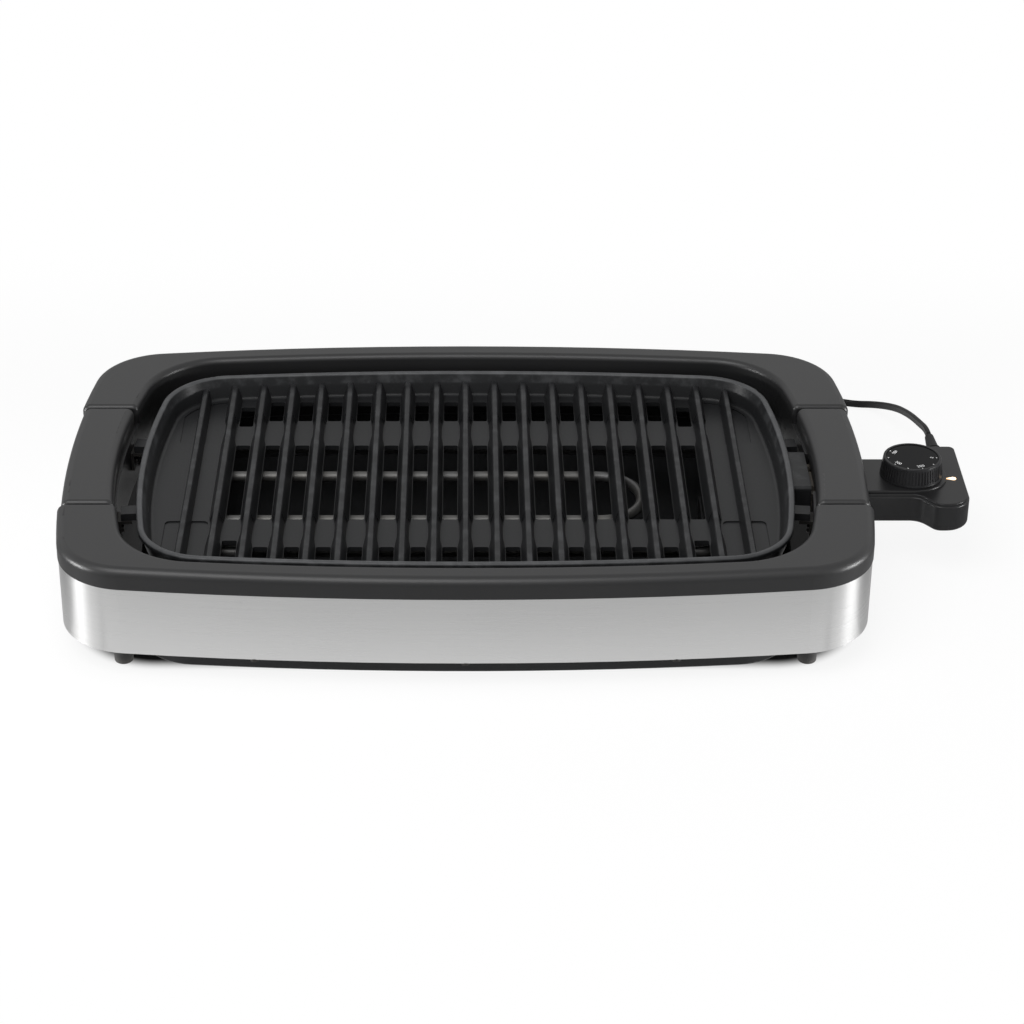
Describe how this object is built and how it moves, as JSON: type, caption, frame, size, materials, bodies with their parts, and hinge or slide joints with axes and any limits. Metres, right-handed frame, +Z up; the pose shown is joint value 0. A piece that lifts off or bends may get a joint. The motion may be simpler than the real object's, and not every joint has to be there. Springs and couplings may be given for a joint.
{
  "type": "smokeless indoor grill",
  "caption": "Open-ring tabletop electric grill: lift-out ribbed plate with its heating element, hanging drip tray and a plug-in temperature control with knob and cord.",
  "frame": {"origin": "centre of the outer box of the grill without its free cord, at the level of the feet's soles", "axes": "+X to the right, towards the temperature control; +Y to the back, where the cord leaves; +Z up"},
  "size_m": [0.589, 0.4208, 0.079],
  "materials": {
    "frame_black": "satin black moulded resin",
    "handle_black": "satin black moulded resin",
    "band_steel": "brushed stainless sheet",
    "plate_coating": "cast, with a dark grey non-stick coating",
    "tray_coating": "dark grey non-stick coating",
    "element_steel": "bright tube",
    "small_steel": "zinc plated",
    "brass": "bare",
    "ceramic": "white ceramic",
    "control_black": "satin black moulded resin",
    "knob_black": "satin black with fine grips",
    "dial_gloss": "glossy black disc",
    "carrier_grey": "heat-proof moulding",
    "lens_amber": "amber lens",
    "lamp_glass": "small glow lamp",
    "foot_rubber": "black",
    "cord_black": "black cord sheath"
  },
  "bodies": {
    "base": {"housing": "frame_black", "handle_left": "handle_black", "handle_right": "handle_black", "handle_screws": "small_steel", "steel_band": "band_steel", "band_screws": "small_steel", "plate_brackets": "small_steel", "bracket_screws": "small_steel", "foot_front_left": "foot_rubber", "foot_front_right": "foot_rubber", "foot_rear_left": "foot_rubber", "foot_rear_right": "foot_rubber", "foot_screws": "small_steel"},
    "plate": {"grill_plate": "plate_coating", "heating_element": "element_steel", "element_clips": "small_steel", "clip_screws": "small_steel", "terminal_pins": "small_steel", "terminal_insulators": "ceramic", "socket_shroud": "small_steel", "shroud_screws": "small_steel"},
    "tray": {"drip_tray": "tray_coating"},
    "control": {"control_lower_shell": "control_black", "control_upper_shell": "control_black", "lid_screws": "small_steel", "contact_carrier": "carrier_grey", "contact_forks": "brass", "sensor_rod": "element_steel", "thermostat_bracket": "small_steel", "thermostat_stack": "ceramic", "contact_blades": "brass", "contact_leads": "cord_black", "indicator_lens": "lens_amber", "indicator_lamp": "lamp_glass", "strain_relief": "cord_black", "cord_stretch": "cord_black", "cord_coil": "cord_black", "cord_end": "cord_black", "plug_body": "cord_black", "plug_prongs": "brass"},
    "knob": {"knob_shaft": "small_steel", "control_knob": "knob_black", "dial_disc": "dial_gloss"}
  },
  "joints": [
    {"name": "plate_lift", "type": "slide", "parent": "base", "child": "plate", "axis": [0, 0, 1], "range_m": [0, 0.2]},
    {"name": "tray_lift", "type": "slide", "parent": "base", "child": "tray", "axis": [0, 0, 1], "range_m": [0, 0.1]},
    {"name": "control_pull", "type": "slide", "parent": "base", "child": "control", "axis": [1, 0, 0], "range_m": [0, 0.11]},
    {"name": "knob_turn", "type": "hinge", "parent": "control", "child": "knob", "pos_m": [0.2596, 0, 0.0645], "axis": [0, 0, 1], "range_deg": [-270, 0]}
  ],
  "couplings": [
    {"joint": "tray_lift", "follows": "plate_lift", "ratio": 0.5}
  ]
}
